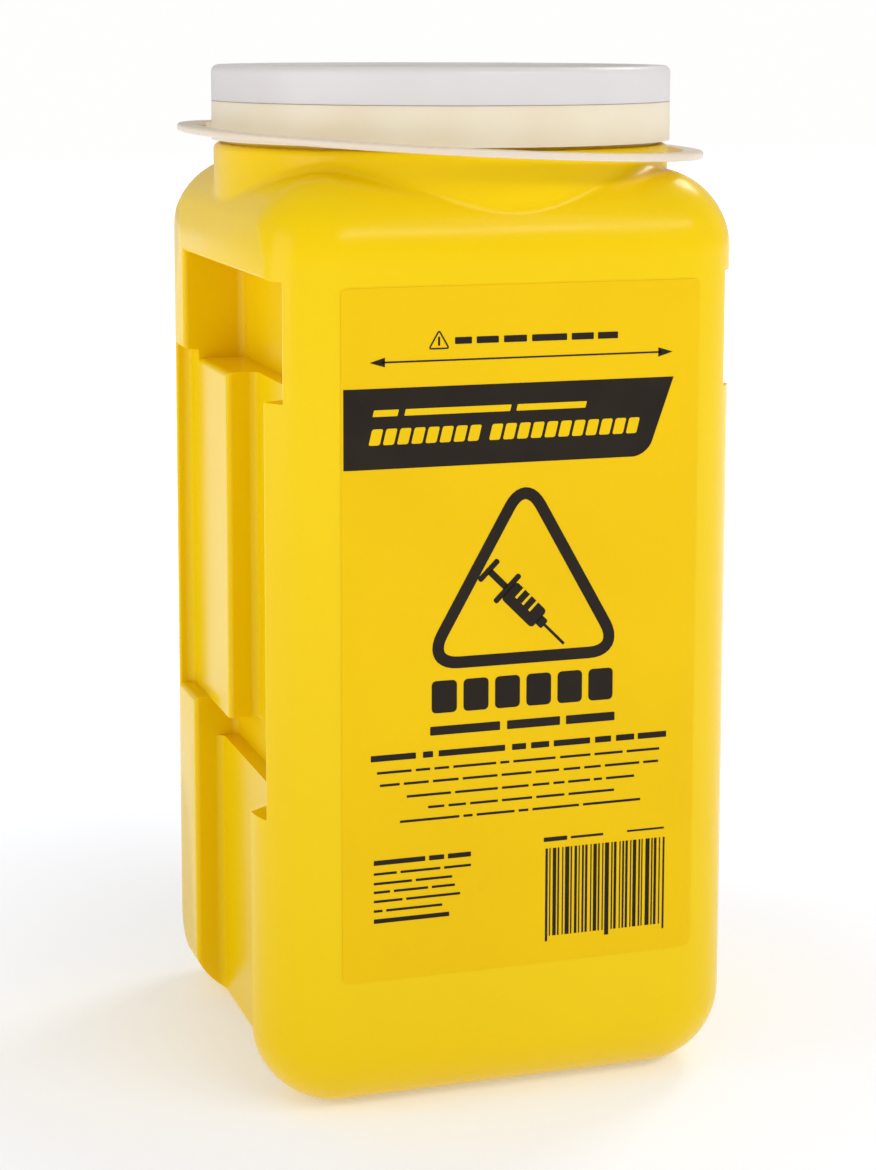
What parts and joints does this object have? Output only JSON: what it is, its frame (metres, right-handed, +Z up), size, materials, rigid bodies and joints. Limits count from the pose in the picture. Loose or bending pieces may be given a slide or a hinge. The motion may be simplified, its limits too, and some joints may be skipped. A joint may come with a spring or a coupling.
{
  "type": "sharps container",
  "caption": "Square blow-moulded sharps waste bottle with grip recesses, a round neck, a hinged snap lid, a carry ring and a front label",
  "frame": {"origin": "centre of the base on the surface that the bottle stands on", "axes": "+Z up along the neck axis, -Y towards the labelled front, +X to the right as seen from the front"},
  "size_m": [0.1126, 0.1126, 0.2124],
  "materials": {
    "yellow_polyethylene": "satin blow-moulded",
    "label_film": "matt printed film",
    "natural_polyethylene": "translucent natural",
    "cap_polyethylene": "translucent white"
  },
  "bodies": {
    "container": {"bottle": "yellow_polyethylene", "front_label": "label_film", "neck_collar": "natural_polyethylene", "cap_hinge": "cap_polyethylene", "ring_hinge": "natural_polyethylene"},
    "cap": {"snap_cap": "cap_polyethylene"},
    "ring": {"carry_ring": "natural_polyethylene"}
  },
  "joints": [
    {"name": "cap_flip", "type": "hinge", "parent": "container", "child": "cap", "pos_m": [0, 0.0498, 0.2049], "axis": [-1, 0, 0], "range_deg": [0, 150]},
    {"name": "ring_swing", "type": "hinge", "parent": "container", "child": "ring", "pos_m": [-0.0476, 0.01547, 0.19899], "axis": [-0.309, -0.9511, 0], "range_deg": [0, 93]}
  ]
}
